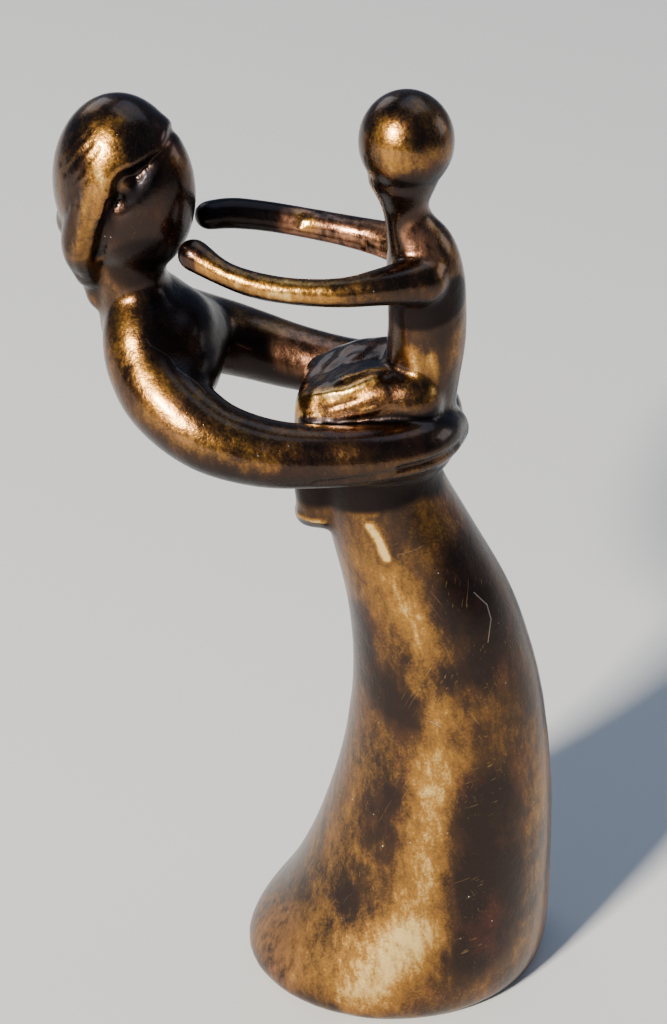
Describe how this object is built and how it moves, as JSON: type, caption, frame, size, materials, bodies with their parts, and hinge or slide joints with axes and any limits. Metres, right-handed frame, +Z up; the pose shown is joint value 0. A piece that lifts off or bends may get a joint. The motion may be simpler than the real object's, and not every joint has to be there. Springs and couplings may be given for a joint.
{
  "type": "mother and child sculpture",
  "caption": "Cast bronze table sculpture: a mother whose body is a curved horn holds a child in the ring of her arms, and the child reaches for her face.",
  "frame": {"origin": "on the flat underside that the sculpture stands on, 1 mm from the middle of the oval foot towards the child's side", "axes": "+Z up, the way the horn rises; +X is the way the mother looks, towards the child; the figures' shared middle plane is y = 0"},
  "size_m": [0.1239, 0.0714, 0.25],
  "materials": {
    "patinated_bronze": "dark brown patina, waxed, rubbed golden on the ridges"
  },
  "bodies": {
    "root": {"mother_and_child": "patinated_bronze"}
  },
  "joints": []
}
